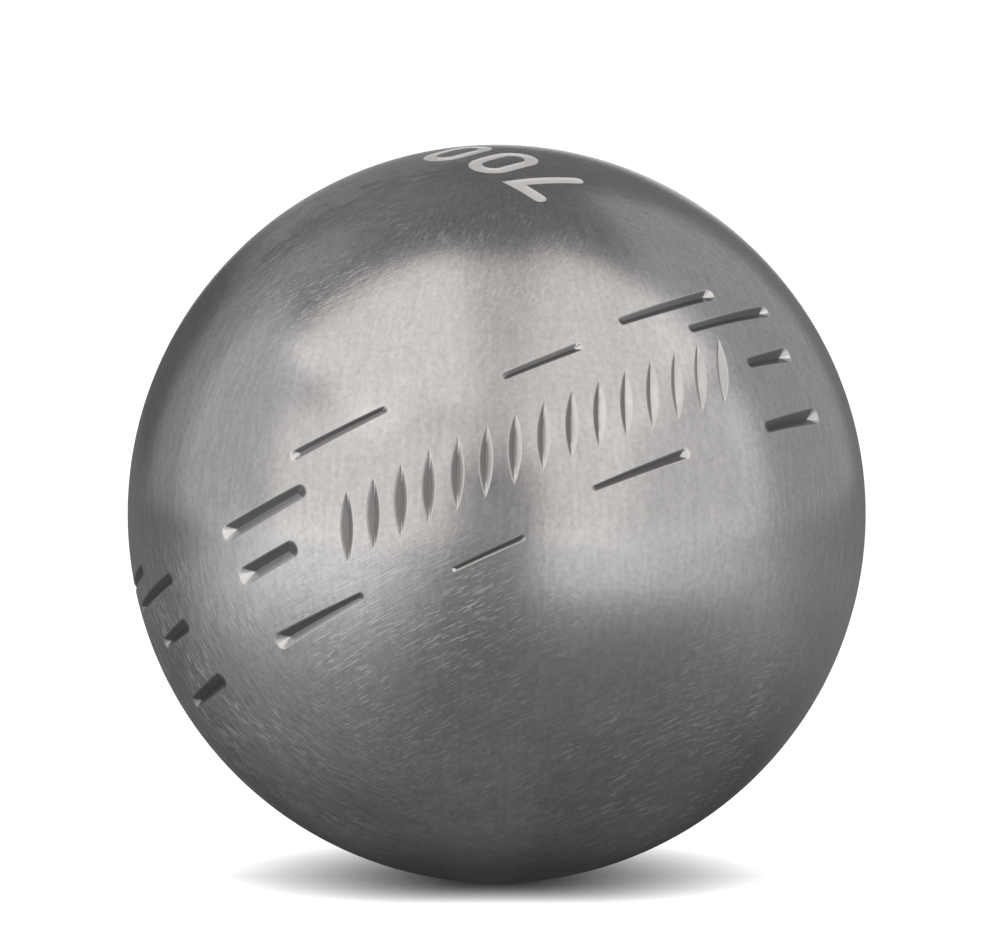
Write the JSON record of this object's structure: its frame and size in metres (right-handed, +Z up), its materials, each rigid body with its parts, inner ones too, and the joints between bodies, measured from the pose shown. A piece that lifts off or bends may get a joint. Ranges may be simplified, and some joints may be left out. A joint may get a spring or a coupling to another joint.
{
  "type": "petanque boule",
  "caption": "Hollow steel petanque boule: half shells butt-welded at the equator, ground to a ball and stamped with a band of V-cut dashes and slanted notches for grip.",
  "frame": {"origin": "middle of the ball", "axes": "+Z up as the ball lies in the picture, +X to the picture's right, +Y away from its camera; the turning axis, square to the weld, leans 28 degrees from +Z on a bearing of 150 degrees from +X"},
  "size_m": [0.074, 0.074, 0.074],
  "materials": {
    "shell_steel": "satin ground steel with fine brush lines and scratches",
    "weld_steel": "weld metal ground flush with the shells, satin"
  },
  "bodies": {
    "root": {"upper_half_shell": "shell_steel", "lower_half_shell": "shell_steel", "weld_seam": "weld_steel"}
  },
  "joints": []
}
